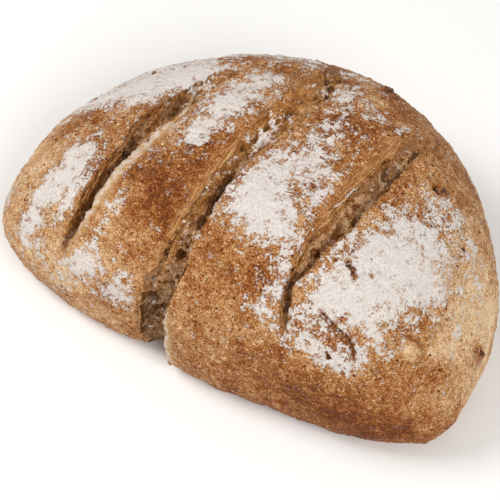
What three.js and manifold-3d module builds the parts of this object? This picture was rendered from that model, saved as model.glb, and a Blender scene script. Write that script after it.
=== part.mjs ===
// A rustic walnut loaf, baked free on a flat stone: a domed bread with a nearly straight front side, a
// rounded back, three slashes that opened across the crown in the oven, and chopped walnut showing through
// the crust. +X runs along the loaf, +Y to its rounded back and +Z up. The loaf rests on z = 0, and the
// origin is under the middle of its outline. All lengths are in millimetres.
import * as THREE from "three";
import { mergeVertices } from "three/addons/utils/BufferGeometryUtils.js";
import Module from "manifold-3d";

// Driving dimensions. FRONT and BACK are measured from the ridge, the line along the loaf's highest points.
const LENGTH = 240;
const FRONT = 64;
const BACK = 106;
const HEIGHT = 91;
const WAIST = 16; // height of the widest line of the sides
const TUCK = 11; // how far the crust turns in under the waist, down to the flat base
const CORE = 24; // height of the line inside the crumb that every slash was cut towards

// How blunt the outline and the crown are: each is a half width or height times (1 - t^2) to this power,
// where t runs from -1 at the left end to 1 at the right one. A half is an ellipse, less is blunter.
const OUTLINE = { frontLeft: 0.24, frontRight: 0.18, backLeft: 0.575, backRight: 0.625 };
const CROWN = { left: 0.42, right: 0.54 };
const SUMMIT_SHIFT = 0.3; // the highest point lies towards the right end
const SECTION = { front: 2.37, back: 2.46 }; // powers of the superellipse that a cross-section follows
const STEP_BACK = 4; // the front side left of the middle slash stands back by this much beside it
const STEP_REACH = 35; // and comes level again over about this length

// The three slashes. left and right are the x of each lip, and depth the depth in the middle, at even steps
// over the crown from the front waist to the back one. A slash is open between the shares from and to of that
// way, and lean says how far its floor lies under the right lip (above 0) or the left one (below 0). Bulges
// move a lip by shift round a share of the way, fading out over reach to both sides.
const SLASHES = [
  {
    left: [-68, -70.5, -69.5, -69.5, -66.5, -56, -38, -30, -24],
    right: [-66, -68, -63, -60.3, -55.5, -42, -31, -24, -18],
    from: 0.15,
    to: 0.72,
    depth: [3, 5, 8, 9, 9, 8, 5, 3, 3],
    lean: -0.45,
    bulges: [
      { side: "right", at: 0.555, reach: 0.05, shift: 2 },
      { side: "left", at: 0.53, reach: 0.03, shift: -1.5 },
    ],
  },
  {
    left: [-26.2, -25.5, -19.5, -15.5, -13.5, -10.5, -4, -12, -16],
    right: [-9.8, -9.5, -7.5, -6, -3.5, 9.5, 5, -4, -8],
    from: -0.3,
    to: 0.84,
    depth: [9.5, 10, 7.5, 7, 6, 2.5, 4, 3, 3],
    lean: 0.5,
    bulges: [{ side: "left", at: 0.18, reach: 0.04, shift: -1.5 }],
  },
  {
    left: [47, 46.5, 39, 39, 43.5, 50.5, 56.5, 62, 66],
    right: [49, 48.5, 43.5, 46, 54, 59.5, 63, 68, 72],
    from: 0.17,
    to: 0.71,
    depth: [3, 4, 6, 6.5, 7, 7, 5, 3, 3],
    lean: 0.62,
    bulges: [
      { side: "left", at: 0.295, reach: 0.035, shift: -1.5 },
      { side: "right", at: 0.305, reach: 0.03, shift: -2.6 },
    ],
  },
];
const SLASH_FADE = 0.13; // share of the way over the crown in which a slash reaches its depth
const FLOOR_ROUNDNESS = 0.8;
const SHOULDER_DIP = 1.2; // how far the crust sinks beside an open lip
const SHOULDER_REACH = 7;
const RAGGED = 0.8; // how far the torn lips wander from a smooth line
const TEARS = 23; // number of half waves of that wandering over the crown

// Unevenness of hand shaping on the crust, and the rougher torn crumb in the slashes
const LUMP_HEIGHT = 0.7;
const LUMP_LENGTH = 46;
const TORN_HEIGHT = 0.9;
const TORN_LENGTH = 9;

// Chopped walnut that breaks through the crust: where it sits along the loaf and over it, and its half size
const NUTS = [
  { x: 115.5, over: 0.46, size: 3.6 },
  { x: 116, over: 0.6, size: 2.4 },
  { x: 77.5, over: 0.625, size: 3.2 },
  { x: 27, over: 0.765, size: 3.6 },
  { x: -79, over: 0.71, size: 2.8 },
  { x: 106, over: 0.3, size: 2.6 },
];
const NUT_SUNK = 0.45; // share of a nut's half size that its centre lies under the crust

// Pits where a nut or a bubble has left the crust, and the bubbles that the slashes cut open
const PITS = [
  { x: 74, over: 0.62, size: 3.2, deeper: 0 },
  { x: 97, over: 0.243, size: 2.4, deeper: 0 },
  { x: 61.5, over: 0.39, size: 2.6, deeper: 0 },
  { x: -52, over: 0.56, size: 4.2, deeper: 7 },
  { x: -17, over: 0.09, size: 4, deeper: 9 },
  { x: 7, over: 0.69, size: 3.6, deeper: 6 },
];
const UNEVEN = 0.25; // how far the corners of nuts and pits stray from a ball

// A short fissure that opened to the right of the third slash, low on the front
const FISSURE = { x: [60, 65, 70, 73, 75.5], over: [0.275, 0.268, 0.25, 0.232, 0.21], width: 3, depth: 4.5 };
const FISSURE_STEPS = 14;
const FISSURE_RISE = 1.5; // the cutting blade stands this far out of the crust

// Grid of the crust: columns across each stretch of the loaf, and rows over the crown and down to the base
const END_COLUMNS = 15;
const RIB_COLUMNS = 9;
const SLASH_COLUMNS = 10;
const CROWN_ROWS = 50;
const TUCK_ROWS = 3;
const BASE_ROWS = 3;
const POLE_CROWDING = 2.2; // columns crowd towards the ends, where the outline turns fastest
const CALM_ENDS = 8; // unevenness fades out over the last eighth of each half of the length
const SAME_POINT = 1e-3;
const SEED = 20;

const HALF_LENGTH = LENGTH / 2;
const Y_OF_RIDGE = (FRONT - BACK) / 2; // puts the origin under the middle of the outline

const powerOfSine = (sine, power) => Math.sign(sine) * Math.abs(sine) ** (2 / power);

// Value at a share of the way through evenly spaced values, on a smooth curve through all of them
function between(values, share) {
  const place = THREE.MathUtils.clamp(share, 0, 1) * (values.length - 1);
  const i = Math.min(Math.floor(place), values.length - 2);
  const f = place - i;
  const [a, b, c, d] = [i - 1, i, i + 1, i + 2].map(
    (n) => values[THREE.MathUtils.clamp(n, 0, values.length - 1)],
  );
  return b + 0.5 * f * (c - a + f * (2 * a - 5 * b + 4 * c - d + f * (3 * (b - c) + d - a)));
}

// x of a torn lip at a share of the way over the crown; side is "left" or "right"
function lipAt(slash, side, over) {
  const tear = Math.sin(Math.PI * TEARS * over + slash[side][0]) * Math.sin(Math.PI * over);
  let x = between(slash[side], over) + RAGGED * tear;
  for (const bulge of slash.bulges) {
    if (bulge.side === side) x += bulge.shift * Math.exp(-(((over - bulge.at) / bulge.reach) ** 2));
  }
  return x;
}

// How far the front side stands back at x: most at the left lip of the middle slash, and nothing to its right
function stepBackAt(x) {
  const left = SLASHES[1].left[0];
  const right = SLASHES[1].right[0];
  if (x > left) return STEP_BACK * THREE.MathUtils.clamp((right - x) / (right - left), 0, 1);
  return STEP_BACK * Math.exp((x - left) / STEP_REACH);
}

// Half widths to the front and back, and height of the crown, at x along the loaf
function sizesAt(x) {
  const t = THREE.MathUtils.clamp(x / HALF_LENGTH, -1, 1);
  const rest = 1 - t * t;
  const summit = THREE.MathUtils.clamp(t - SUMMIT_SHIFT * rest, -1, 1);
  return {
    front: (FRONT - stepBackAt(x)) * rest ** (t < 0 ? OUTLINE.frontLeft : OUTLINE.frontRight),
    back: BACK * rest ** (t < 0 ? OUTLINE.backLeft : OUTLINE.backRight),
    crown: WAIST + (HEIGHT - WAIST) * (1 - summit * summit) ** (summit < 0 ? CROWN.left : CROWN.right),
  };
}

// Point of the unslashed crust: over runs from 0 at the front waist, over the crown, to 1 at the back waist
function crustPoint(x, over) {
  const sizes = sizesAt(x);
  const angle = Math.PI * over;
  const toBack = -Math.cos(angle);
  const power = toBack < 0 ? SECTION.front : SECTION.back;
  const width = toBack < 0 ? sizes.front : sizes.back;
  return new THREE.Vector3(
    x,
    width * powerOfSine(toBack, power),
    WAIST + (sizes.crown - WAIST) * powerOfSine(Math.sin(angle), power),
  );
}

// Smooth unevenness from -1 to 1: the mean of three crossed waves that are about one length long
function waves(point, length) {
  const [x, y, z] = point.toArray().map((n) => (2 * Math.PI * n) / length);
  const first = Math.sin(x + 0.7 * y + 1.3);
  const second = Math.sin(0.6 * x - y + 0.9 * z);
  const third = Math.sin(1.3 * y + 1.1 * z - 0.5 * x + 2.1);
  return (first + second + third) / 3;
}

// How open a slash is at a share of the way over the crown, from 0 to 1
function openness(slash, over) {
  const opened = THREE.MathUtils.smoothstep(over, slash.from, slash.from + SLASH_FADE);
  const closed = THREE.MathUtils.smoothstep(over, slash.to - SLASH_FADE, slash.to);
  return opened * (1 - closed);
}

// How far the crust at x has sunk beside the open lips
function shoulderDip(x, over) {
  let dip = 0;
  for (const slash of SLASHES) {
    const gap = Math.max(lipAt(slash, "left", over) - x, x - lipAt(slash, "right", over), 0);
    dip += openness(slash, over) * SHOULDER_DIP * Math.exp(-gap / SHOULDER_REACH);
  }
  return dip;
}

// Moves a point of the crust towards the core line inside the crumb
function sink(point, depth) {
  const inward = new THREE.Vector3(0, -point.y, Math.min(CORE - point.z, 0)).normalize();
  return point.addScaledVector(inward, depth);
}

// Columns of the grid from the left end to the right one. Each gives its x and how deep it is cut at a share
// of the way over the crown, so that the columns follow the lips of the slashes.
function makeColumns() {
  const columns = [];
  const leftEnd = () => -HALF_LENGTH;
  const rightEnd = () => HALF_LENGTH;
  const lip = (slash, side) => (over) => lipAt(slash, side, over);
  const crowd = (f) => 1 - (1 - f) ** POLE_CROWDING;
  for (let i = 0; i < END_COLUMNS; i++) {
    columns.push(crustColumn(lip(SLASHES[0], "left"), leftEnd, crowd(1 - i / END_COLUMNS)));
  }
  SLASHES.forEach((slash, n) => {
    for (let i = 0; i < SLASH_COLUMNS; i++) columns.push(slashColumn(slash, -1 + (2 * i) / SLASH_COLUMNS));
    const next = SLASHES[n + 1];
    for (let i = 0; next && i < RIB_COLUMNS; i++) {
      columns.push(crustColumn(lip(slash, "right"), lip(next, "left"), i / RIB_COLUMNS));
    }
  });
  for (let i = 0; i <= END_COLUMNS; i++) {
    columns.push(crustColumn(lip(SLASHES.at(-1), "right"), rightEnd, crowd(i / END_COLUMNS)));
  }
  return columns;
}

// A column of whole crust at a share of the way from one edge of a stretch to the other
function crustColumn(fromEdge, toEdge, share) {
  return (over) => ({ x: THREE.MathUtils.lerp(fromEdge(over), toEdge(over), share), cut: 0 });
}

// A column inside a slash, across from -1 at its left lip to 1 at its right one: the floor is a rounded
// trough, pushed sideways under one of the lips
function slashColumn(slash, across) {
  const trough = 1 - across * across;
  return (over) => {
    const left = lipAt(slash, "left", over);
    const right = lipAt(slash, "right", over);
    const open = openness(slash, over);
    return {
      x: (left + right) / 2 + ((right - left) / 2) * (across + open * slash.lean * trough),
      cut: open * between(slash.depth, over) * trough ** FLOOR_ROUNDNESS,
    };
  };
}

// Point of the finished crust in a column, at a share of the way over the crown
function loafPoint(column, over) {
  const { x, cut } = column(over);
  const point = crustPoint(x, over);
  const smooth = Math.min(1, CALM_ENDS * (1 - Math.abs(x) / HALF_LENGTH));
  const lump = LUMP_HEIGHT * waves(point, LUMP_LENGTH) * Math.sin(Math.PI * over) * smooth;
  const torn = cut > 0 ? TORN_HEIGHT * waves(point, TORN_LENGTH) * Math.min(1, cut / TORN_LENGTH) : 0;
  return sink(point, cut + torn - lump + shoulderDip(x, over) * smooth);
}

// Point a share of the way from the waist down to the base: the outline shrinks along a quarter of an
// ellipse as the crust turns in
function tuckPoint(waistPoint, width, share) {
  const angle = (Math.PI / 2) * share;
  const turned = 1 - Math.cos(angle);
  return new THREE.Vector3(
    waistPoint.x * (1 - (TUCK / HALF_LENGTH) * turned),
    waistPoint.y * (1 - (TUCK / width) * turned),
    WAIST * (1 - Math.sin(angle)),
  );
}

// Closed ring of points round the loaf in one column: over the crown, down the back, along the base and up
// the front
function ring(column) {
  const points = [];
  for (let i = 0; i <= CROWN_ROWS; i++) points.push(loafPoint(column, i / CROWN_ROWS));
  const frontWaist = points[0];
  const backWaist = points[CROWN_ROWS];
  frontWaist.z = WAIST;
  backWaist.z = WAIST;
  for (let i = 1; i <= TUCK_ROWS; i++) points.push(tuckPoint(backWaist, BACK, i / TUCK_ROWS));
  const baseFront = tuckPoint(frontWaist, FRONT, 1);
  const baseBack = points.at(-1);
  for (let i = 1; i <= BASE_ROWS; i++) points.push(baseBack.clone().lerp(baseFront, i / BASE_ROWS));
  for (let i = TUCK_ROWS - 1; i > 0; i--) points.push(tuckPoint(frontWaist, FRONT, i / TUCK_ROWS));
  return points;
}

// Surface through closed rings of points, without the triangles that shrink to nothing at the two ends
function ringsGeometry(rings) {
  const positions = [];
  const addTriangle = (a, b, c) => {
    const shrunk = [a.distanceTo(b), b.distanceTo(c), c.distanceTo(a)].some((side) => side < SAME_POINT);
    if (!shrunk) positions.push(...a.toArray(), ...b.toArray(), ...c.toArray());
  };
  for (let i = 0; i + 1 < rings.length; i++) {
    rings[i].forEach((a, j) => {
      const next = (j + 1) % rings[i].length;
      const b = rings[i][next];
      const c = rings[i + 1][next];
      const d = rings[i + 1][j];
      addTriangle(a, c, b);
      addTriangle(a, d, c);
    });
  }
  return new THREE.BufferGeometry().setAttribute("position", new THREE.Float32BufferAttribute(positions, 3));
}

// Repeatable random numbers from 0 to 1
function randomFrom(seed) {
  const factor = 16807;
  const modulus = 2 ** 31 - 1;
  let state = seed;
  return () => {
    state = (state * factor) % modulus;
    return state / modulus;
  };
}

// An uneven little body, for a broken piece of walnut or a pit: an icosahedron with its corners moved at
// random
function crag({ x, over, size }, depth, random) {
  const geometry = mergeVertices(bare(new THREE.IcosahedronGeometry(size, 1)), SAME_POINT);
  const position = geometry.getAttribute("position");
  for (let i = 0; i < position.count; i++) {
    const corner = new THREE.Vector3().fromBufferAttribute(position, i);
    corner.multiplyScalar(1 + UNEVEN * (2 * random() - 1));
    position.setXYZ(i, ...corner.toArray());
  }
  const centre = sink(crustPoint(x, over), depth);
  return geometry.rotateZ(2 * Math.PI * random()).translate(...centre.toArray());
}

// Blade that cuts the fissure: a three-sided wedge carried along its path, which swells from a point at one
// end and shrinks to a point at the other
function fissureGeometry() {
  const path = [];
  for (let i = 0; i <= FISSURE_STEPS; i++) {
    const share = i / FISSURE_STEPS;
    path.push(crustPoint(between(FISSURE.x, share), between(FISSURE.over, share)));
  }
  const corners = path.map((point, i) => {
    const swell = Math.sin((Math.PI * i) / FISSURE_STEPS);
    const along = path[Math.min(i + 1, FISSURE_STEPS)].clone().sub(path[Math.max(i - 1, 0)]).normalize();
    const top = sink(point.clone(), -FISSURE_RISE * swell);
    const bottom = sink(point.clone(), FISSURE.depth * swell);
    const across = top.clone().sub(point).cross(along).setLength(0.5 * FISSURE.width * swell);
    return [top.clone().sub(across), top.clone().add(across), bottom];
  });
  return ringsGeometry(corners);
}

// The geometry with nothing but its positions, so that its shared corners can be merged
function bare(geometry) {
  geometry.deleteAttribute("normal");
  geometry.deleteAttribute("uv");
  return geometry;
}

const wasm = await Module();
wasm.setup();

function toSolid(geometry) {
  const merged = mergeVertices(geometry, SAME_POINT);
  return new wasm.Manifold(
    new wasm.Mesh({
      numProp: 3,
      vertProperties: new Float32Array(merged.getAttribute("position").array),
      triVerts: new Uint32Array(merged.index.array),
    }),
  );
}

function toGeometry(solid) {
  const { vertProperties, triVerts } = solid.getMesh();
  return new THREE.BufferGeometry()
    .setAttribute("position", new THREE.BufferAttribute(vertProperties, 3))
    .setIndex(new THREE.BufferAttribute(triVerts, 1));
}

// The whole loaf as one solid: the crust less its pits and fissure, with the walnut pieces fused on
function loafGeometry() {
  const random = randomFrom(SEED);
  let solid = toSolid(ringsGeometry(makeColumns().map(ring)));
  solid = solid.subtract(toSolid(fissureGeometry()));
  for (const pit of PITS) solid = solid.subtract(toSolid(crag(pit, pit.deeper, random)));
  for (const nut of NUTS) solid = solid.add(toSolid(crag(nut, NUT_SUNK * nut.size, random)));
  return toGeometry(solid).translate(0, Y_OF_RIDGE, 0);
}

const crust = new THREE.MeshStandardMaterial({ color: "#b9824c", roughness: 0.85, metalness: 0 });
const loaf = new THREE.Mesh(loafGeometry(), crust);
loaf.name = "walnut_loaf";

const part = new THREE.Group();
part.add(loaf);

export default part;
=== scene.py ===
from math import cos, pi, radians, sin

import bpy
import numpy as np
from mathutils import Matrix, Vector


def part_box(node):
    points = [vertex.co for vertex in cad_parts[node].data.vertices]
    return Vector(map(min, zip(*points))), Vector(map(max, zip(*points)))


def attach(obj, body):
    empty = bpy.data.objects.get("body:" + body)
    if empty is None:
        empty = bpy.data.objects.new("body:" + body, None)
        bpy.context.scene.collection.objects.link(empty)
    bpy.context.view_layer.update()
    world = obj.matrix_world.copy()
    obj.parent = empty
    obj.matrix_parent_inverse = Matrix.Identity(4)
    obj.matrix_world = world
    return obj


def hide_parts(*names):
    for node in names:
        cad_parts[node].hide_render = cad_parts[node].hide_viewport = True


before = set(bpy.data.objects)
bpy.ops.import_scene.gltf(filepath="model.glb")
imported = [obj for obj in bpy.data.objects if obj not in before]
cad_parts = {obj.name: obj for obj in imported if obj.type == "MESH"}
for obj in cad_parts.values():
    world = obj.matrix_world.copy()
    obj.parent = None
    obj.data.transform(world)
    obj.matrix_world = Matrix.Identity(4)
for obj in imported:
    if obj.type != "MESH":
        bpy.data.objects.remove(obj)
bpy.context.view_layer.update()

# A rustic walnut loaf. The solid gives its size and form, and the pieces here are its real surfaces: the
# browned crust, the torn crumb in the slashes, shreds along their lips, walnut, loose flour and bran.
# Shapes are worked out in millimetres, with y = 0 on the loaf's ridge, and put into meshes in metres.

MM = 0.001
FAR = 99.0  # millimetres, beyond the reach of all that is measured from a point
LOAF = "walnut_loaf"
lowest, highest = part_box(LOAF)
LENGTH, WIDTH, HEIGHT = (round(side / MM) for side in highest - lowest)
HALF_LENGTH = LENGTH / 2
FRONT = 64  # from the ridge to the front side
BACK = WIDTH - FRONT
Y_OF_RIDGE = (FRONT - BACK) / 2
WAIST = 16  # height of the widest line
TUCK = 11  # how far the crust turns in below the waist
CORE = 24  # height of the line that every cut sinks towards
CROWN_LENGTH = 250  # along the crust, from the front waist over the crown to the back one

# The solid's own figures. Powers of the outline and the crown are (left end, right end), and those of the
# cross-section are (front, back). The summit is shifted towards the right end by a share of half the length.
OUTLINE_FRONT = (0.24, 0.18)
OUTLINE_BACK = (0.575, 0.625)
CROWN = (0.42, 0.54)
SECTION = (2.37, 2.46)
SUMMIT_SHIFT = 0.3
# The front steps back to the left of the middle slash, and comes forward again along that reach
STEP_BACK = 4
STEP_REACH = 35
# Slashes open and close within this share of the crown, and the crust beside them sinks a little
SLASH_FADE = 0.13
FLOOR_ROUNDNESS = 0.8
SHOULDER_DIP = 1.2
SHOULDER_REACH = 7
# Torn line of the lips, and broad lumps that fade out at the two ends
TEAR_LENGTH = 10
TEAR_WIDTH = 1.9
LUMP_HEIGHT = 0.7
LUMP_LENGTH = 46
CALM_ENDS = 8

# The three slashes, as the solid has them: lips and depth at even steps over the crown
SLASHES = (
    dict(
        left=(-68, -70.5, -69.5, -69.5, -66.5, -56, -38, -30, -24),
        right=(-66, -68, -63, -60.3, -55.5, -42, -31, -24, -18),
        depth=(3, 5, 8, 9, 9, 8, 5, 3, 3),
        opens=0.15, closes=0.72, lean=-0.45,
        bulges=(("right", 0.555, 0.05, 2), ("left", 0.53, 0.03, -1.5)),
    ),
    dict(
        left=(-26.2, -25.5, -19.5, -15.5, -13.5, -10.5, -4, -12, -16),
        right=(-9.8, -9.5, -7.5, -6, -3.5, 9.5, 5, -4, -8),
        depth=(9.5, 10, 7.5, 7, 6, 2.5, 4, 3, 3),
        opens=-0.3, closes=0.84, lean=0.5,
        bulges=(("left", 0.18, 0.04, -1.5),),
    ),
    dict(
        left=(47, 46.5, 39, 39, 43.5, 50.5, 56.5, 62, 66),
        right=(49, 48.5, 43.5, 46, 54, 59.5, 63, 68, 72),
        depth=(3, 4, 6, 6.5, 7, 7, 5, 3, 3),
        opens=0.17, closes=0.71, lean=0.62,
        bulges=(("left", 0.295, 0.035, -1.5), ("right", 0.305, 0.03, -2.6)),
    ),
)

# Flour in patches: (x, share of the way over the crown, half length, half share, amount)
FLOUR = (
    # Left end: the long streak behind, and the patch beside the first slash
    (-75, 0.665, 28, 0.045, 1.1), (-100, 0.65, 12, 0.045, 0.8), (-60, 0.68, 9, 0.03, 0.9),
    (-80, 0.75, 28, 0.04, 0.8), (-74, 0.6, 7, 0.03, 0.8), (-88, 0.61, 11, 0.03, 0.4),
    (-106, 0.58, 6, 0.02, 0.3), (-45, 0.785, 40, 0.02, 0.75), (-83, 0.45, 9, 0.05, 0.85),
    (-81, 0.39, 9, 0.05, 0.9), (-89, 0.33, 8, 0.045, 0.75), (-76, 0.32, 5, 0.04, 0.5),
    (-91, 0.27, 7, 0.05, 0.65), (-92, 0.2, 7, 0.05, 0.75), (-93, 0.13, 7, 0.03, 0.5),
    (-82, 0.13, 7, 0.03, 0.4), (-115, 0.2, 6, 0.08, 0.5), (-77, 0.26, 4, 0.02, 0.3),
    # Between the first slash and the middle one, and at the front left
    (-29, 0.59, 11, 0.055, 0.78), (-68, 0.62, 14, 0.025, 0.55), (-10, 0.755, 14, 0.02, 0.5),
    (-22, 0.66, 9, 0.025, 0.6), (-34, 0.535, 8, 0.025, 0.7), (-12, 0.62, 4, 0.02, 0.3),
    (-50, 0.475, 5, 0.02, 0.3), (-50, 0.36, 4, 0.05, 0.35), (-55, 0.255, 4, 0.04, 0.4),
    (-46, 0.52, 5, 0.02, 0.3), (-55, 0.16, 7, 0.045, 0.9), (-64, 0.12, 6, 0.03, 0.5),
    (-36, 0.12, 6, 0.045, 0.65), (-44, 0.09, 9, 0.03, 0.4),
    # Between the middle slash and the third: the heart of it, its fringe behind and the trail in front
    (9, 0.465, 11, 0.045, 1.1), (24, 0.455, 8, 0.04, 0.5), (16, 0.42, 13, 0.03, 1.0),
    (20, 0.385, 9, 0.025, 0.5), (12, 0.52, 9, 0.02, 0.5), (24, 0.53, 8, 0.025, 0.6), (34, 0.5, 4, 0.03, 0.4),
    (20, 0.575, 9, 0.03, 0.35), (21, 0.62, 9, 0.03, 0.35), (17, 0.675, 10, 0.025, 0.5),
    (44, 0.67, 7, 0.015, 0.4), (33, 0.665, 5, 0.02, 0.35), (16, 0.725, 6, 0.015, 0.4),
    (-4, 0.46, 3, 0.05, 0.3), (5, 0.78, 20, 0.015, 0.5), (33, 0.36, 6, 0.035, 0.4), (36, 0.31, 6, 0.04, 0.5),
    (33, 0.26, 7, 0.035, 0.5), (43, 0.21, 6, 0.03, 0.4), (45, 0.175, 5, 0.016, 0.35),
    (27, 0.22, 6, 0.02, 0.3),
    # Right of the third slash: the big patch, the trail in front and specks behind
    (76, 0.46, 19, 0.045, 1.2), (70, 0.39, 17, 0.045, 1.1), (64, 0.335, 13, 0.035, 1.05),
    (90, 0.46, 8, 0.03, 0.6), (56, 0.285, 8, 0.035, 0.8), (63, 0.24, 10, 0.025, 0.5),
    (65, 0.18, 8, 0.025, 0.8), (75, 0.2, 6, 0.04, 0.5), (75, 0.285, 8, 0.03, 0.5), (54, 0.2, 5, 0.03, 0.4),
    (85, 0.32, 5, 0.03, 0.3), (87, 0.26, 5, 0.03, 0.3), (77, 0.52, 12, 0.025, 0.7),
    (79, 0.575, 9, 0.025, 0.5), (92, 0.55, 8, 0.03, 0.35), (86, 0.62, 8, 0.02, 0.45),
    (104, 0.575, 6, 0.025, 0.4), (98, 0.62, 8, 0.02, 0.35),
    # A thin veil low at the front left, and less of it low at the front right
    (-78, 0.05, 28, 0.07, 0.2), (80, 0, 60, 0.14, -0.16),
)
# How much darker or paler than the rest the crust is baked, in the same kind of patches
BROWNING = (
    (-33, 0.44, 18, 0.08, 0.17), (-30, 0.35, 14, 0.07, 0.12), (104, 0.45, 16, 0.2, -0.06),
    (-95, 0.56, 18, 0.04, 0.12), (20, 0.6, 18, 0.06, 0.14), (12, 0.33, 16, 0.06, 0.06),
    (72, 0.0, 44, 0.09, 0.27), (112, 0.1, 10, 0.08, -0.08), (90, 0.08, 15, 0.07, 0.12),
    (92, 0.28, 10, 0.07, 0.08), (30, 0.75, 60, 0.06, 0.04), (-72, 0.1, 34, 0.12, -0.2),
    (103.1, 0.331, 1.8, 0.015, -0.3), (28, 0.03, 16, 0.05, -0.08), (3, 0.12, 8, 0.09, -0.08),
    (108, 0.68, 20, 0.12, -0.1), (22, 0.2, 16, 0.09, 0.05), (95.5, 0.3, 4.4, 0.03, -0.3),
    (117.5, 0.463, 3, 0.03, 0.35), (-38, 0.24, 12, 0.07, -0.1),
)

# Paler crust round the two ends: (x, share over the crown, radius, amount)
PALE_ENDS = ((-112, 0.4, 26, 0.2), (112, 0.5, 24, 0.29))

# Pits, and blisters: (x, share over the crown, radius, height)
DENTS = (
    # Pits
    (74, 0.622, 3.4, -3.2), (108.5, 0.306, 1.3, -1.6), (61.5, 0.388, 1.6, -1.8), (59.5, 0.4, 1.2, -1.6),
    (52.5, 0.4, 0.9, -1.2), (65.5, 0.18, 1.3, -1.3), (115.5, 0.46, 4.2, -0.9), (10, 0.265, 1, -1),
    (4, 0.133, 1, -1), (-64.5, 0.497, 1.8, -2), (30, 0.43, 1.2, -0.8), (13, 0.245, 0.9, -0.8),
    # Blisters, and broad hollows
    (95.5, 0.3, 7, -0.7), (95.5, 0.3, 4.6, 1.7), (103.1, 0.331, 1.6, 0.8), (86.5, 0.082, 1.8, 0.6),
    (104, 0.27, 2.6, 0.6), (-43, 0.145, 6, -0.9), (-50, 0.1, 5, -0.8), (20, 0.2, 6, -0.7),
    (10, 0.17, 5, 0.7), (90, 0.18, 6, -0.7), (-88, 0.5, 8, -0.9), (-45, 0.36, 8, 0.8), (26, 0.57, 7, -0.7),
    (94, 0.565, 3, 0.8), (101, 0.53, 2.6, 0.7), (104, 0.29, 2.4, 0.6), (22, 0.61, 2.6, 0.7),
    (-38, 0.53, 3, 0.5), (17, 0.235, 2.2, 0.6), (84, 0.2, 2.4, 0.5), (70, 0.1, 2.8, 0.5),
    (48, 0.08, 2.4, 0.5), (-95, 0.25, 3, 0.5), (-100, 0.45, 2.6, 0.5),
)

# Pockets torn deeper into the crumb: (x, share over the crown, radius, depth)
POCKETS = (
    # First slash
    (-55, 0.592, 2.3, 5), (-51, 0.612, 1.4, 2), (-50, 0.635, 1.8, 3), (-44, 0.645, 1.6, 2.5),
    (-40, 0.675, 1.5, 2), (-64.5, 0.5, 1.8, 4), (-66, 0.52, 1.5, 3), (-58, 0.53, 1.8, 4),
    (-69.5, 0.17, 1.6, 2.5), (-65, 0.4, 1.4, 3), (-66, 0.36, 1.4, 3), (-67, 0.31, 1.3, 3),
    (-63.5, 0.44, 1.5, 3),
    # Middle slash: the notch at the front, the long cleft, the torn line beside the left lip
    (-21.5, 0.1, 2.2, 2.5), (-22, 0.05, 1.6, 2), (-17.5, 0.075, 1.6, 2), (-14, 0.11, 1.6, 2),
    (-16, 0.03, 1.6, 1.5), (-19, 0.12, 1.3, 1.5), (-13, 0.05, 1.3, 1.5), (-15.5, 0.23, 1, 1.2),
    (-12.5, 0.2, 1.2, 2), (-14.5, 0.17, 1.2, 1.6), (-12, 0.27, 1, 1.5), (-10, 0.37, 1.8, 4.5),
    (-9, 0.405, 1.8, 4), (-9.5, 0.435, 2.2, 5), (-9.5, 0.46, 2.2, 5), (-9, 0.485, 2, 5),
    (-19, 0.29, 1.2, 2.5), (-18.5, 0.26, 1.2, 2.5), (-17.5, 0.32, 1.1, 2), (-24.2, 0.145, 1.7, 3.5),
    (-24.4, 0.122, 1.8, 4), (-24.8, 0.1, 1.9, 4.5), (-24.6, 0.078, 1.8, 4.5), (-24.9, 0.055, 1.9, 4.5),
    (-24.7, 0.03, 1.8, 4.5), (-25, 0.005, 1.8, 4), (-22.9, 0.17, 1.5, 3),
    # Middle slash, behind
    (0.5, 0.745, 1.8, 2.5), (-11, 0.525, 1.3, 2), (-8.3, 0.545, 1.2, 1.6), (-7, 0.567, 1.4, 2),
    (-4.5, 0.585, 1.2, 1.5), (-2, 0.608, 1.8, 2.5), (-0.5, 0.64, 1.2, 1.5), (3.3, 0.664, 1.2, 1.5),
    (8, 0.68, 1.9, 3), (5.5, 0.722, 2.1, 3.5),
    # Third slash
    (50.5, 0.59, 2, 4), (57.5, 0.665, 1.9, 3), (51.5, 0.55, 1, 0.8), (51.5, 0.53, 1.1, 1),
    (46.5, 0.475, 1.5, 2), (46, 0.455, 1.2, 1.5), (50.5, 0.5, 1.3, 1.8), (53, 0.63, 1.4, 1.5),
    (41, 0.245, 1.5, 2.5), (39.5, 0.27, 1.5, 3), (38.5, 0.3, 1.6, 2.5), (39, 0.33, 1.2, 1.5),
)

# Skin beside the slashes that stretched as they opened: x of its two edges, at even steps over the crown
STRETCHED = (
    dict(
        left=(-70, -70.5, -69.8, -70, -65, -52, -42, -34, -26),
        right=(-69, -68, -66, -65.5, -62, -43, -30, -24, -18),
    ),
    dict(
        left=(-28, -27.3, -21.8, -20, -17, -10, -7, -14, -16),
        right=(-27, -25.5, -19.5, -13, -10, 8, 3, -4, -8),
    ),
    dict(
        left=(46, 45, 39.5, 37, 38.5, 47, 58, 64, 68),
        right=(46.5, 45.5, 41, 42, 46, 52, 62, 68, 72),
    ),
)
# Pale crumb rolled out over the lips: x of its two edges, at even steps over the crown
PALE_EDGES = (
    dict(
        left=(-68.5, -70.5, -65.5, -63, -58, -46, -38, -30, -24),
        right=(-64.5, -65.5, -60.6, -56.6, -50, -42, -37, -30, -24),
    ),
    dict(
        left=(-14, -13, -12, -12, -12, -12, -12, -12, -12),
        right=(-6, -8.5, -15, -18, -18, -18, -18, -18, -18),
    ),
)

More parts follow.
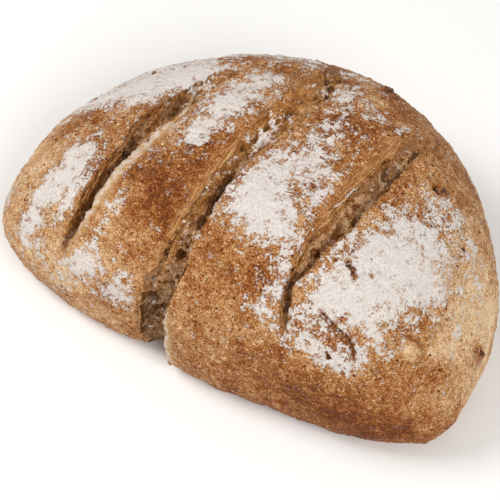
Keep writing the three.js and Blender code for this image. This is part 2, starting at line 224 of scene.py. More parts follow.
# Cracks in the skin: (x, share over the crown) along each, then its half width and depth
CRACKS = (
    (((56.5, 0.273), (60.5, 0.264), (65, 0.255), (70, 0.246), (73.5, 0.225), (75.5, 0.205)), 1, 2.8),
    (((62.5, 0.252), (66, 0.245), (69.5, 0.236)), 1.8, 1.2), (((52.3, 0.413), (53, 0.394)), 0.9, 2.2),
    (((57.8, 0.407), (59.6, 0.398), (62, 0.396), (63.2, 0.382)), 0.9, 2.6),
    (((66, 0.409), (68.5, 0.404)), 1.3, 1), (((64.2, 0.194), (64.8, 0.18)), 0.9, 1.6),
    (((93, 0.328), (97.5, 0.331), (100.5, 0.312), (100, 0.285), (97, 0.268)), 0.9, 1.2),
    (((49.5, 0.335), (51.5, 0.33)), 0.8, 1), (((50, 0.29), (52, 0.283)), 0.8, 1),
)

# Inside the slashes, in the same kind of patches: toasted skin, painted shadow and flour that fell in
TOASTED = (
    (-69, 0.33, 1.6, 0.17, 0.9), (-61, 0.56, 1.6, 0.035, 0.8), (-45, 0.69, 12, 0.045, 0.9),
    (-66, 0.59, 2, 0.04, 0.8), (-20, 0.27, 1.6, 0.06, 0.6), (-16.5, 0.3, 1.2, 0.09, 0.7),
    (-12, 0.525, 2.8, 0.045, 0.9), (-3, 0.645, 12, 0.085, 0.6), (1, 0.79, 9, 0.06, 0.9),
    (-4.5, 0.56, 4, 0.04, 0.8), (-14, 0.43, 2.6, 0.075, 0.95), (42.5, 0.475, 1.4, 0.04, 0.8),
    (47, 0.45, 2.2, 0.03, 0.75), (45, 0.585, 2, 0.025, 0.6), (45.5, 0.535, 2.2, 0.02, 0.7),
    (56.5, 0.7, 6, 0.025, 0.6), (38.5, 0.3, 1, 0.05, 0.6), (52, 0.6, 2, 0.02, 0.6),
)
# Painted shadow on the crumb, under overhanging lips and flaps and down narrow slits
PAINTED_SHADOWS = (
    (-24.5, 0.02, 4, 0.12, 0.9), (-17, -0.04, 6, 0.05, 0.6), (-16, 0.06, 6, 0.08, 0.3),
    (-9, 0.535, 1.6, 0.03, 0.35), (-5.5, 0.575, 1.6, 0.03, 0.35), (-1.5, 0.615, 2, 0.03, 0.4),
    (3, 0.665, 2, 0.03, 0.35), (7, 0.705, 2, 0.03, 0.4),
)
FLOURY = (
    (-5, 0.56, 3.6, 0.035, 0.45), (-52, 0.655, 6, 0.02, 0.4), (4, 0.71, 4, 0.02, 0.35),
    (-15, 0.46, 1.5, 0.06, 0.15), (47, 0.61, 3, 0.02, 0.3),
)

# Shreds of skin along the lips: (x, over) at both ends, height, lean to the left and flour
SHREDS = (
    (41, 0.485, 42.8, 0.505, 1.2, -0.3, 0.62), (43.2, 0.508, 45.2, 0.53, 1.3, -0.3, 0.6),
    (38.2, 0.355, 38, 0.395, 0.8, 0.2, 0.5), (38, 0.405, 38.4, 0.45, 0.8, 0, 0.1),
    (-59.8, 0.515, -59.2, 0.575, 1.9, 0.5, 0), (-65.2, 0.512, -65.4, 0.534, 1.5, 0.4, 0.3),
    (-62, 0.545, -60, 0.6, 1.6, 0.4, 0), (-68.4, 0.31, -68, 0.39, 1.4, 0.3, 0),
    (-67.6, 0.4, -66, 0.455, 1.8, 0.4, 0), (-65.6, 0.47, -64.2, 0.505, 1.6, 0.3, 0),
    (-67, 0.33, -66.5, 0.41, 1.2, 0.2, 0), (-65, 0.43, -63.4, 0.48, 1.4, 0.2, 0),
    (-17.4, 0.2, -15, 0.325, 1.1, 0.5, 0), (-25.6, 0.13, -21, 0.22, 1.4, 0.3, 0),
    (-26.2, 0.02, -25.9, 0.1, 1.2, 0.3, 0), (-10, 0.04, -9.4, 0.1, 1.2, -0.3, 0.2),
    (50, 0.44, 52, 0.475, 0.8, -0.3, 0.2), (46.5, 0.55, 49, 0.585, 0.8, 0.2, 0),
    (-9.4, -0.05, -9.8, -0.01, 1.6, -0.8, 0.1),
)

# Chopped walnut that shows: (x, share over the crown, radius, how far its centre stands out)
WALNUT = (
    (117.3, 0.463, 2, -1), (75.1, 0.628, 2.3, -1.1), (93.7, 0.571, 1.8, -0.9), (28.1, 0.772, 2.6, 1),
    (31.8, 0.768, 1.7, 0.4), (26.2, 0.776, 1.3, 0.6), (-79.5, 0.714, 1.3, 0.2), (60.5, 0.397, 1.5, -1),
)
# The crease down the right end, from its top: x, y and z. It fades in along x, and out along y both ways.
END_CREASE = ((112, 14, 45), (116.5, 5, 36), (118, 0, 31), (118.6, -8, 28), (119, -27, 23))
CREASE_STARTS = (108, 112)
CREASE_FRONT = (-32, -27)
CREASE_BACK = (4, 24)
CREASE_WIDTH = 1.4


# ---- Shape of the loaf ----


def between(values, share):
    """Values at even steps, read at a share of the way through them: a Catmull-Rom curve through them all."""
    values = np.asarray(values, float)
    last = len(values) - 1
    place = np.clip(share, 0, 1) * last
    i = np.minimum(place.astype(int), last - 1)
    f = place - i
    a, b, c, d = (values[np.clip(i + step, 0, last)] for step in (-1, 0, 1, 2))
    return b + 0.5 * f * (c - a + f * (2 * a - 5 * b + 4 * c - d + f * (3 * (b - c) + d - a)))


def step_up(value, start, end):
    """Smooth step from 0 at start to 1 at end: 3t^2 - 2t^3."""
    t = np.clip((value - start) / (end - start), 0, 1)
    return t * t * (3 - 2 * t)


def lip_x(slash, side, over):
    """x of a torn lip: its curve, with bell-shaped bulges exp(-d^2), torn to both sides by a noise."""
    x = between(slash[side], over)
    for bulging, centre, reach, shift in slash["bulges"]:
        if bulging == side:
            x = x + shift * np.exp(-(((over - centre) / reach) ** 2))
    along = np.stack([CROWN_LENGTH * over, slash[side][0] + 0 * over, 0 * over], -1)
    return x + TEAR_WIDTH * rough(along, TEAR_LENGTH, 81, 4) * np.sin(pi * np.clip(over, 0, 1)) ** 0.5


def openness(slash, over):
    """How open a slash is, from 0 to 1: a smooth step up where it opens and one down where it closes."""
    opened = step_up(over, slash["opens"], slash["opens"] + SLASH_FADE)
    return opened * (1 - step_up(over, slash["closes"] - SLASH_FADE, slash["closes"]))


def half_sizes(x):
    """Half widths to front and back, and crown height, at x: each is its full size times (1 - t^2) to a
    power, where t goes from -1 to 1 along the loaf. The crown's t is shifted towards the right end."""
    t = np.clip(x / HALF_LENGTH, -1, 1)
    rest = 1 - t * t
    summit = np.clip(t - SUMMIT_SHIFT * rest, -1, 1)
    left, right = SLASHES[1]["left"][0], SLASHES[1]["right"][0]
    beside = np.exp((np.minimum(x, left) - left) / STEP_REACH)
    front = FRONT - STEP_BACK * np.where(x > left, np.clip((right - x) / (right - left), 0, 1), beside)
    return (
        front * rest ** np.where(t < 0, *OUTLINE_FRONT),
        BACK * rest ** np.where(t < 0, *OUTLINE_BACK),
        WAIST + (HEIGHT - WAIST) * (1 - summit * summit) ** np.where(summit < 0, *CROWN),
    )


def crust_points(x, over):
    """Points of the whole crust: a superellipse over each cross-section, from the front waist (over = 0) to
    the back waist (over = 1), with y and z as powers of the angle's cosine and sine."""
    front, back, crown = half_sizes(x)
    angle = pi * np.clip(over, 0, 1)
    to_back = -np.cos(angle)
    power = 2 / np.where(to_back < 0, *SECTION)
    y = np.where(to_back < 0, front, back) * np.sign(to_back) * np.abs(to_back) ** power
    z = WAIST + (crown - WAIST) * np.abs(np.sin(angle)) ** power
    return np.stack(np.broadcast_arrays(x, y, z), -1)


def sink(points, depth):
    """Points moved by depth towards the core line, which runs along the loaf inside the crumb."""
    y, z = points[..., 1], points[..., 2]
    inward = np.stack([np.zeros_like(y), -y, np.minimum(CORE - z, 0)], -1)
    inward /= np.maximum(np.linalg.norm(inward, axis=-1, keepdims=True), 1e-6)
    return points + inward * np.asarray(depth)[..., None]


def waves(points, length):
    """Broad unevenness from -1 to 1: the mean of three crossed sine waves about one length long."""
    x, y, z = np.moveaxis(points, -1, 0) * (2 * pi / length)
    first = np.sin(x + 0.7 * y + 1.3)
    second = np.sin(0.6 * x - y + 0.9 * z)
    third = np.sin(1.3 * y + 1.1 * z - 0.5 * x + 2.1)
    return (first + second + third) / 3


def calm(x):
    """1 along the loaf, fading to 0 at its two ends."""
    return np.minimum(1, CALM_ENDS * (1 - np.abs(x) / HALF_LENGTH))


def slash_gap(slash, x, over):
    """Signed distance in x from a slash: below 0 to its left, 0 in it and above 0 to its right."""
    left = np.minimum(x - lip_x(slash, "left", over), 0)
    return left + np.maximum(x - lip_x(slash, "right", over), 0)


def shoulder_dip(x, over):
    """How far the crust sinks beside the open lips: an exponential fall with the distance from each."""
    return sum(
        openness(slash, over) * SHOULDER_DIP * np.exp(-np.abs(slash_gap(slash, x, over)) / SHOULDER_REACH)
        for slash in SLASHES
    )


def slash_x(slash, across, over):
    """x in a slash, across from -1 at its left lip to 1 at its right one, pushed sideways by its lean."""
    left, right = lip_x(slash, "left", over), lip_x(slash, "right", over)
    shifted = across + openness(slash, over) * slash["lean"] * (1 - across * across)
    return (left + right) / 2 + (right - left) / 2 * shifted


def slash_cut(slash, across, over):
    """Depth of a slash's floor: its depth at this place times a rounded trough (1 - across^2)^0.8."""
    return openness(slash, over) * between(slash["depth"], over) * (1 - across * across) ** FLOOR_ROUNDNESS


def under_waist(points, share, width):
    """Points a share of the way down from the waist to the base: the outline shrinks along a quarter of an
    ellipse as the crust turns in."""
    angle = pi / 2 * share
    turned = TUCK * (1 - np.cos(angle))
    x, y = points[..., 0] * (1 - turned / HALF_LENGTH), points[..., 1] * (1 - turned / width)
    return np.stack(np.broadcast_arrays(x, y, WAIST * (1 - np.sin(angle))), -1)


# ---- Unevenness ----


def hashed(cell, seed):
    """A random number from 0 to 1 for each cell of a lattice, by mixing the bits of its three numbers."""
    x, y, z = (np.asarray(cell[..., i], np.int64).astype(np.uint32) for i in range(3))
    mixed = x * np.uint32(374761393) ^ y * np.uint32(668265263) ^ z * np.uint32(2246822519)
    mixed = (mixed ^ np.uint32(seed * 7919 + 1)) * np.uint32(3266489917)
    mixed = (mixed ^ (mixed >> np.uint32(13))) * np.uint32(1274126177)
    return ((mixed ^ (mixed >> np.uint32(16))) & np.uint32(0xFFFFFF)) / 2**24


# A slanting turn, so that no lattice lines up with the loaf
TURN = np.array([[0.8, 0.36, -0.48], [-0.6, 0.48, -0.64], [0.0, 0.8, 0.6]])


def noise(points, size, seed):
    """Smooth random unevenness from -1 to 1: random numbers on a turned lattice with cells of that size,
    blended by a smooth step along each axis."""
    place = points @ TURN / size
    cell = np.floor(place)
    f = place - cell
    f = f * f * (3 - 2 * f)
    total = 0
    for corner in np.ndindex(2, 2, 2):
        weight = np.prod(np.where(corner, f, 1 - f), axis=-1)
        total = total + weight * hashed(cell + corner, seed)
    return 2 * total - 1


def rough(points, size, seed, octaves=3):
    """Noise at a size and at each half of it, every one half as high as the last."""
    layers = [noise(points, size / 2**i, seed + i) / 2**i for i in range(octaves)]
    return sum(layers) / (2 - 2 ** (1 - octaves))


def lumps(points, layers, more=0):
    """Unevenness in layers: the sum of each one's height times a noise of its size."""
    return sum(height * rough(points, size, seed + more, octaves) for height, size, seed, octaves in layers)


def streaks(across, along, layers):
    """Streaks over the crown in layers: the sum of each one's height times a noise, whose second axis is
    squeezed as often as the streaks are drawn out."""
    return sum(
        height * noise(np.stack([across, along / drawn_out, 0 * across], -1), width, seed)
        for height, width, seed, drawn_out in layers
    )


def pores(points, size, seed, smallest, largest):
    """Depth of the round pores that a surface has cut open: one ball strewn in each cell, and how far a point
    lies inside the nearest one, sqrt(r^2 - d^2), in millimetres."""
    place = points @ TURN / size
    cell = np.floor(place)
    deepest = np.zeros(place.shape[:-1])
    for step in np.ndindex(3, 3, 3):
        other = cell + np.array(step) - 1
        centre = other + np.stack([hashed(other, seed + i) for i in range(3)], -1)
        radius = smallest + (largest - smallest) * hashed(other, seed + 3) ** 2
        inside = radius**2 - ((place - centre) ** 2).sum(-1)
        deepest = np.maximum(deepest, inside)
    return np.sqrt(deepest) * size


def patches(x, over, spots):
    """Soft-edged ellipses, as 1 / (1 + r^4): r is 1 on an ellipse's edge. Amounts above 0, each 0.98 at most,
    are joined as a union, 1 - product of (1 - amount), and those below 0 are taken off."""
    bare = np.ones(np.broadcast(x, over).shape)
    taken = np.zeros_like(bare)
    for centre_x, centre_over, half_x, half_over, amount in spots:
        r2 = ((x - centre_x) / half_x) ** 2 + ((over - centre_over) / half_over) ** 2
        if amount > 0:
            bare *= 1 - np.minimum(amount / (1 + r2 * r2), 0.98)
        else:
            taken -= amount / (1 + r2 * r2)
    return 1 - bare - taken


# ---- Meshes ----


def even_shares(dense, points, count):
    """Shares at which a bundle of curves is crossed in equal steps. Lengths are added up along each curve,
    averaged over the curves, and read backwards at equal steps of the total."""
    steps = np.linalg.norm(np.diff(points, axis=0), axis=-1).mean(axis=-1)
    length = np.concatenate([[0], np.cumsum(steps)])
    return np.interp(np.linspace(0, length[-1], count), length, dense)


def ring_faces(rings, places):
    """Two triangles for each cell between neighbouring rings, each of which closes on itself."""
    i, j = np.meshgrid(np.arange(rings - 1), np.arange(places), indexing="ij")
    following = (j + 1) % places
    a, b = i * places + j, i * places + following
    c, d = b + places, a + places
    return np.stack([a, c, b, a, d, c], -1).reshape(-1, 3)


def weld(points, faces):
    """Which points stay once those that fall together are made one, and the faces between them, without the
    triangles that shrink to nothing."""
    _, kept, place = np.unique(np.round(points, 3), axis=0, return_index=True, return_inverse=True)
    faces = place.reshape(-1)[faces]
    shrunk = (faces == np.roll(faces, 1, axis=1)).any(axis=1)
    return kept, faces[~shrunk]


def outward(points, faces):
    """Direction of the surface at each point: the sum of the face vectors round it, made one long."""
    a, b, c = (points[faces[:, i]] for i in range(3))
    vectors = np.repeat(np.cross(b - a, c - a), 3, axis=0)
    total = np.stack([np.bincount(faces.ravel(), vectors[:, axis], len(points)) for axis in range(3)], -1)
    return total / np.maximum(np.linalg.norm(total, axis=-1, keepdims=True), 1e-12)


def areas(points, faces):
    """Area round each point: the lengths of the face vectors there, added up. Only its shares count."""
    a, b, c = (points[faces[:, i]] for i in range(3))
    size = np.linalg.norm(np.cross(b - a, c - a), axis=-1)
    return np.bincount(faces.ravel(), np.repeat(size, 3), len(points))


def new_piece(name, points, faces, finish, slot, **fields):
    """A piece of the loaf, from points in millimetres, three-cornered faces and a number for each point in
    every field."""
    mesh = bpy.data.meshes.new(name)
    mesh.vertices.add(len(points))
    mesh.vertices.foreach_set("co", ((points + [0, Y_OF_RIDGE, 0]) * MM).ravel())
    mesh.loops.add(faces.size)
    mesh.loops.foreach_set("vertex_index", faces.ravel().astype(np.int32))
    mesh.polygons.add(len(faces))
    mesh.polygons.foreach_set("loop_start", np.arange(0, faces.size, 3, dtype=np.int32))
    mesh.polygons.foreach_set("use_smooth", np.ones(len(faces), bool))
    for field, values in fields.items():
        mesh.attributes.new(field, "FLOAT", "POINT").data.foreach_set("value", values.astype(np.float32))
    mesh.update(calc_edges=True)
    mesh.materials.append(finish)
    piece = bpy.data.objects.new(name, mesh)
    bpy.context.scene.collection.objects.link(piece)
    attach(piece, "root")
    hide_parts(LOAF)


# ---- Crust ----

# Points of each ring over the crown, down each tuck and along the base, and columns out to each end, across
# each rib between two slashes and across each slash
CROWN_ROWS = 310
TUCK_ROWS = 8
BASE_ROWS = 6
END_COLUMNS = 79
RIB_COLUMNS = 49
SLASH_COLUMNS = 12
TUCK_SHARE = 0.08  # over goes this far below 0 and above 1, down to the base
UNDERCUT = 2.6  # the crust runs on below the crumb in the slashes, and the crumb hides it
LIP_CURL = 0.6
LIP_CURL_REACH = 1.3
SKIN_ENDS = (0.4, 2)  # torn crumb starts at the first of these depths, and is all there is at the other
BASE_FADE = (0.2, 5)  # relief is gone below the first of these heights, and whole above the other
END_FADE = (0.5, 5)  # and the same with distances from the loaf's two end points

# Even amounts of browning and flour, before the patches, and the most that a patch of flour gives
BROWN_EVEN = 0.42
FLOUR_EVEN = 0.04
FLOUR_THICK = 0.95

# Lumps, as (height, size, seed, octaves): on the crust, and where the crust turns into a slash
CRUST_LUMPS = ((0.7, 26, 13, 1), (0.8, 13, 1, 3), (0.42, 4.2, 5, 1), (0.34, 1.9, 6, 1))
TORN_LUMPS = ((0.6, 5, 7, 1), (0.4, 2.2, 8, 1))
# Small blisters and hollows: size of their cells, seed, smallest and largest radius as shares of the size
BLISTERS = (8, 61, 0.1, 0.3)
BLISTER_HEIGHT = 0.4
HOLLOWS = (9, 65, 0.05, 0.2)
HOLLOW_DEPTH = 0.5
FLOUR_LAYER = 0.22
CREASE_STEP = 0.8
CREASE_RIM = 0.5
DARK_PIT = -0.95  # pits deeper than this are dark and free of flour
POCKET_LENGTH = 2  # times as long over the crown as they are wide
POCKET_SIDE = 20  # how far into the loaf a pocket still counts, so that the other side has none of it
# Streaks of stretched skin, as (height, width, seed, how often drawn out), on skin that sinks in
SKIN_STREAKS = ((0.35, 1.6, 10, 9), (0.6, 2.6, 14, 14))
SKIN_SUNK = 0.5
# How much darker or paler the small forms are than the crust round them: painted shade in the deep pits and
# the cracks, and crust baked paler below the crease and on the blisters
PIT_PAINTED_SHADE = 0.5
CRACK_PAINTED_SHADE = 0.3
BELOW_CREASE_PALE = 0.2
BLISTER_PALE = 0.09


def loaf_points(x, over, cut):
    """Points of the loaf with a cut of that depth. Over goes on below 0 down the tuck at the front, and above
    1 down the one at the back, to the base at a share of 0.08 more."""
    flat = np.clip(over, 0, 1)
    points = crust_points(x, flat)
    lump = LUMP_HEIGHT * waves(points, LUMP_LENGTH) * np.sin(pi * flat) * calm(x)
    points = sink(points, cut - lump + shoulder_dip(x, flat) * calm(x))
    down = np.maximum(-over, over - 1) / TUCK_SHARE
    tucked = under_waist(points, np.clip(down, 0, 1), np.where(over < 0.5, FRONT, BACK))
    return np.where((down > 0)[..., None], tucked, points)


def crust_grid():
    """x, share over the crown and cut of every column of the crust. Columns run along the lips, and stand in
    equal steps of arc between the last lips and the two ends. Near the ends x is read at shares
    1 - (1 - t)^6, which crowd there as the outline turns in."""
    dense = np.linspace(0, 1, 2000)
    over = even_shares(dense, crust_points(np.array([-60, 0, 60]), dense[:, None]), CROWN_ROWS)
    tuck = np.linspace(0, TUCK_SHARE, TUCK_ROWS + 1)[1:]
    over = np.concatenate([-tuck[::-1], over, 1 + tuck])
    crowded = 1 - (1 - dense) ** 6
    columns = []

    def stretch(start, end, shares):
        """Columns at shares of the way from one line to another."""
        for share in shares:
            columns.append((start + (end - start) * share, np.zeros_like(over)))

    def end_shares(edge, pole):
        """Shares of the way from a lip to the loaf's end that lie in equal steps along the crust."""
        x = np.mean(edge) + (pole - np.mean(edge)) * crowded
        return even_shares(crowded, crust_points(x[:, None], np.linspace(0, 1, 9)), END_COLUMNS)

    edge = lip_x(SLASHES[0], "left", over)
    stretch(edge, -HALF_LENGTH, end_shares(edge, -HALF_LENGTH)[:0:-1])
    for n, slash in enumerate(SLASHES):
        for across in np.linspace(-1, 1, SLASH_COLUMNS + 1)[:-1]:
            undercut = openness(slash, over) * UNDERCUT * step_up(1 - across * across, 0.05, 0.4)
            columns.append((slash_x(slash, across, over), slash_cut(slash, across, over) + undercut))
        edge = lip_x(slash, "right", over)
        if n < 2:
            rib = np.arange(RIB_COLUMNS) / RIB_COLUMNS
            stretch(edge, lip_x(SLASHES[n + 1], "left", over), rib)
    stretch(edge, HALF_LENGTH, end_shares(edge, HALF_LENGTH))
    x, cut = (np.stack(part) for part in zip(*columns))
    return x, np.broadcast_to(over, x.shape), cut


def band(edges, x, over, soft):
    """1 between two edges that run over the crown and 0 outside them, with a smooth step at each."""
    left, right = between(edges["left"], over), between(edges["right"], over)
    return step_up(x, left - soft, left + soft) * (1 - step_up(x, right - soft, right + soft))


def spot(x, over):
    """The one point of the whole crust at x and over, as a path of one stop."""
    return crust_points(np.array([x]), np.array([over]))


def near(points, path):
    """Distance from each point to the nearest of the points of a path."""
    distance = np.full(len(points), FAR)
    for stop in path:
        distance = np.minimum(distance, np.linalg.norm(points - stop, axis=-1))
    return distance


def crease_side(points):
    """1 below and to the right of the crease at the right end, and 0 above it, with a smooth step between."""
    x, y, z = np.moveaxis(points, -1, 0)
    path = np.array(END_CREASE, float)[::-1]
    crease_z = np.interp(y, path[:, 1], path[:, 2])
    at_end = step_up(x, *CREASE_STARTS) * step_up(y, *CREASE_FRONT) * (1 - step_up(y, *CREASE_BACK))
    return at_end * step_up(crease_z - z, 0, CREASE_WIDTH)


def pockets(points):
    """Depth of the deeper pockets: each a bowl, (1 - r^2)^1.5, round its centre, where r is 1 on its rim.
    They are longer over the crown than they are wide, with a noise in their outline."""
    depth = np.zeros(len(points))
    ragged = 1 + 0.6 * rough(points, 3, 95)
    for x, over, radius, deepest in POCKETS:
        centre = spot(x, over)[0]
        inward = sink(centre, np.array(1.0)) - centre
        away = points - centre
        flat = away - (away @ inward)[:, None] * inward
        flat[:, 1:] /= POCKET_LENGTH
        aside = np.linalg.norm(flat, axis=-1) * ragged
        beside = np.where(away @ inward < POCKET_SIDE, aside, FAR)
        depth = np.maximum(depth, deepest * (1 - np.minimum(beside / radius, 1) ** 2) ** 1.5)
    return depth


def dents(points):
    """Height of the pits and blisters, each a smooth bowl (1 - r^2)^2 where r is 1 on its rim, and how far a
    point lies in one of the deep pits."""
    height, pit = np.zeros(len(points)), np.zeros(len(points))
    for x, over, radius, rise in DENTS:
        bowl = (1 - np.minimum(near(points, spot(x, over)) / radius, 1) ** 2) ** 2
        height += rise * bowl
        pit = np.maximum(pit, bowl * (rise < DARK_PIT))
    return height, np.minimum(2 * pit, 1)


def cracks(points):
    """Depth of the cracks and how open they are: 1 - r^2, where r is 1 at the half width from a curve through
    the crack's stops, made ragged by a noise. The depth is that to the power of 1.5."""
    depth, open_here = np.zeros(len(points)), np.zeros(len(points))
    ragged = 1 + 0.4 * noise(points, 2, 12)
    for stops, half_width, deepest in CRACKS:
        share = np.linspace(0, 1, 12 * len(stops))
        path = crust_points(*(between(part, share) for part in zip(*stops)))
        gap = 1 - np.minimum(near(points, path) / half_width * ragged, 1) ** 2
        depth += deepest * gap**1.5
        open_here = np.maximum(open_here, gap * min(deepest / 2, 1))
    return depth, open_here


def crust_rings():
    """Closed rings round the loaf in every column: over the crown, down the back, along the base and up the
    front. Gives the points, x, over and cut of each, and the faces."""
    x, over, cut = crust_grid()
    points = loaf_points(x, over, cut)
    share = np.linspace(0, 1, BASE_ROWS + 2)[1:-1, None]
    base = points[:, -1:] * (1 - share) + points[:, :1] * share
    points = np.concatenate([points, base], axis=1)
    x, over, cut = (np.pad(part, ((0, 0), (0, BASE_ROWS)), mode="edge") for part in (x, over, cut))
    kept, faces = weld(points.reshape(-1, 3), ring_faces(*x.shape))
    return points.reshape(-1, 3)[kept], *(part.reshape(-1)[kept] for part in (x, over, cut)), faces


def stretched_skin(points, x, over):
    """How far each point lies in the stretched skin beside a slash and in the pale crumb on its lip, and its
    distance across from the nearest left lip."""
    stretched, across = np.zeros_like(x), np.full_like(x, FAR)
    ragged = x + 1.1 * noise(points, 3, 3)
    for slash, edges in zip(SLASHES, STRETCHED):
        gap = x - lip_x(slash, "left", over)
        across = np.where(np.abs(gap) < np.abs(across), gap, across)
        stretched = np.maximum(stretched, openness(slash, over) * band(edges, ragged, over, 0.6))
    frayed = x + 0.9 * rough(points, 3, 4)
    pale = [openness(slash, over) * band(edges, frayed, over, 2) for slash, edges in zip(SLASHES, PALE_EDGES)]
    return stretched, sum(pale), across


def lip_curl(x, over):
    """How far the crust curls up at the lips: a bell exp(-d^2) of the distance from each open slash."""
    gaps = [(openness(slash, over), slash_gap(slash, x, over) / LIP_CURL_REACH) for slash in SLASHES]
    return sum(open_here * np.exp(-(gap**2)) for open_here, gap in gaps)


def crust_skin(finish):
    """The whole crust, from the slashes' walls to the base. Relief moves each point along the surface's own
    direction and fades out at the base and at the two end points. Gives what the loose grains need."""
    points, x, over, cut, faces = crust_rings()
    along = CROWN_LENGTH * over
    inside = step_up(cut, *SKIN_ENDS)
    below_crease = crease_side(points)
    stretched, pale, across = stretched_skin(points, x, over)
    flour = FLOUR_EVEN + FLOUR_THICK * patches(x, over, FLOUR)
    brown = BROWN_EVEN + patches(x, over, BROWNING)
    for end_x, end_over, radius, amount in PALE_ENDS:
        brown -= amount / (1 + (near(points, spot(end_x, end_over)) / radius) ** 4)

    blisters = pores(points, *BLISTERS) * (1 - inside)
    relief = lumps(points, CRUST_LUMPS) + inside * lumps(points, TORN_LUMPS)
    relief += BLISTER_HEIGHT * blisters - HOLLOW_DEPTH * pores(points, *HOLLOWS) * (1 - inside)
    relief += FLOUR_LAYER * step_up(flour + 0.2 * noise(points, 2.5, 9), 0.4, 0.7) * (1 - inside)
    relief += (1 - inside) * lip_curl(x, over) * LIP_CURL * (0.5 + noise(points, 2.6, 11))
    relief += CREASE_RIM * (1 - np.abs(2 * below_crease - 1)) - CREASE_STEP * below_crease
    relief += stretched * (streaks(across, along, SKIN_STREAKS) - SKIN_SUNK)
    relief += pale * (0.3 + 0.5 * noise(points, 1.6, 15))
    height, pit = dents(points)
    depth, crack = cracks(points)
    relief += height - depth - pockets(points)

    from_end = np.hypot(HALF_LENGTH - np.abs(x), points[:, 2] - WAIST)
    free = step_up(points[:, 2], *BASE_FADE) * step_up(from_end, *END_FADE)
    points = points + outward(points, faces) * (relief * free)[:, None]
    points[:, 2] = np.maximum(points[:, 2], 0)
    flour *= (1 - inside) * (1 - crack) * (1 - stretched) * (1 - pit) * (1 - 0.8 * pale)
    # Painted shade: the deep pits and the cracks are darkened by their depth
    brown += PIT_PAINTED_SHADE * pit + CRACK_PAINTED_SHADE * crack
    brown -= BELOW_CREASE_PALE * below_crease + BLISTER_PALE * blisters
    torn = np.maximum(inside, 0.55 * crack)
    fields = dict(flour=flour, brown=brown, torn=torn, stretched=stretched, pale=pale)
    new_piece("loaf_crust", points, faces, finish, "crust", across=across, along=along, **fields)
    return points, outward(points, faces), flour, areas(points, faces)


# ---- Crumb in the slashes ----

LINER_ROWS = 520
LINER_TOP = 64  # points across its upper side
LINER_BOTTOM = 20
LINER_THICK = 3
LINER_SUNK = 0.4  # below the slash's floor
CLOSED_SUNK = 2  # and further where the slash is closed
# Pores of the crumb, as (share of their depth, size of their cells, seed, smallest and largest radius)
CRUMB_PORES = ((0.5, 6, 21, 0.15, 0.5), (0.5, 2.6, 31, 0.2, 0.62), (0.4, 1.3, 41, 0.2, 0.62))
CRUMB_LUMPS = ((0.45, 1.1, 52, 1), (0.5, 2.4, 54, 1))
TOAST_STREAKS = ((0.5, 1.5, 55, 9),)
# Strength of the painted shadow patches, as the depth of a pocket that is painted as dark
PAINTED_SHADOW_DEPTH = 2.5  # patches of deep shade look as dark as a pocket of this depth
CRUMB_FLOUR = 0.08  # more than on the crust
FLOOR_GAP = 0.3  # how far the crumb stays above the floor


def crumb_liner(name, slash, finish, starts):
    """The torn crumb of one slash: a closed ring across it in every row, with its upper side on the slash's
    floor and its lower side a few millimetres deeper. Round pores and pockets are sunk into its upper side,
    ridges 1 - 4 |noise| stand on it, and streaks run along it where it is toasted."""
    over = np.linspace(starts, slash["closes"], LINER_ROWS)[:, None]
    across = np.concatenate([np.linspace(-1, 1, LINER_TOP), np.linspace(1, -1, LINER_BOTTOM + 2)[1:-1]])
    on_top = np.arange(len(across)) < LINER_TOP
    floor = slash_cut(slash, across, over)
    cut = floor + LINER_SUNK + CLOSED_SUNK * (1 - openness(slash, over)) + np.where(on_top, 0, LINER_THICK)
    x = slash_x(slash, across, over)
    points = loaf_points(x, np.broadcast_to(over, x.shape), cut)
    points[0] = points[0].mean(axis=0)
    points[-1] = points[-1].mean(axis=0)
    kept, faces = weld(points.reshape(-1, 3), ring_faces(*x.shape)[:, ::-1])
    points = points.reshape(-1, 3)[kept]
    spread = (np.broadcast_to(part, x.shape).reshape(-1)[kept] for part in (x, over, on_top, floor))
    x, over, upper, depth = spread

    toast = np.maximum(patches(x, over, TOASTED), 0.8 * (1 - step_up(depth, 1, 2.5)))
    pit = sum(share * pores(points, *kind) for share, *kind in CRUMB_PORES) * (1 - 0.7 * toast)
    deep = pockets(points)
    relief = (1.1 - 0.3 * toast) * rough(points, 8, 51, 4) + lumps(points, CRUMB_LUMPS)
    relief += 0.35 * (1 - 4 * np.abs(rough(points, 3.5, 53))) - pit - deep
    relief += toast * streaks(x, CROWN_LENGTH * over, TOAST_STREAKS)
    points = points + outward(points, faces) * (relief * upper)[:, None]
    points[:, 2] = np.maximum(points[:, 2], FLOOR_GAP)
    flour = (FLOUR_EVEN + CRUMB_FLOUR + patches(x, over, FLOURY)) * (1 - step_up(deep, 0.2, 1))
    # Painted shade: darker by the depth of the pockets, and in the painted shadow patches
    shade = deep + PAINTED_SHADOW_DEPTH * patches(x, over, PAINTED_SHADOWS)
    new_piece(name, points, faces, finish, "crumb", pit=pit, toast=toast, deep=shade, flour=flour)


# ---- Shreds, walnut and loose flour ----

SHRED_STEPS = 70
SHRED_ROUND = 10
SHRED_WANDER = ((1.2, 5, 71, 3), (0.5, 1.4, 11, 1))
SHRED_BROWN = 0.48
SHRED_STRETCHED = 0.5


